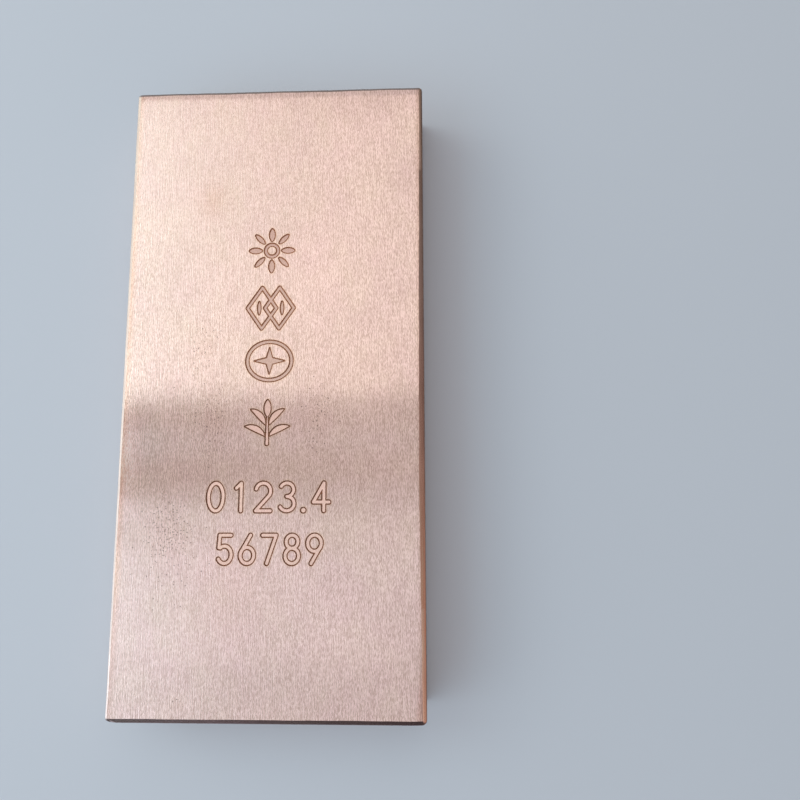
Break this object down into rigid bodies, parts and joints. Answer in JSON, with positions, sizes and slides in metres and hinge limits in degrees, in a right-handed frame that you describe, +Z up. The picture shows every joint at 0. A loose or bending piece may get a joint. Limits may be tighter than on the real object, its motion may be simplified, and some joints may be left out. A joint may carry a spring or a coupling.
{
  "type": "copper ingot",
  "caption": "Flat rectangular bar of copper with bevelled rims and lightly rounded corners, brushed along its length and marked on its upper face.",
  "frame": {"origin": "middle of the broad face that the bar lies on", "axes": "+X across the bar's width, +Y along its length towards the end above the marks, +Z up, out of the marked face"},
  "size_m": [0.06, 0.126, 0.0148],
  "materials": {
    "brushed_copper": "satin, brushed along the length"
  },
  "bodies": {
    "root": {"ingot": "brushed_copper"}
  },
  "joints": []
}
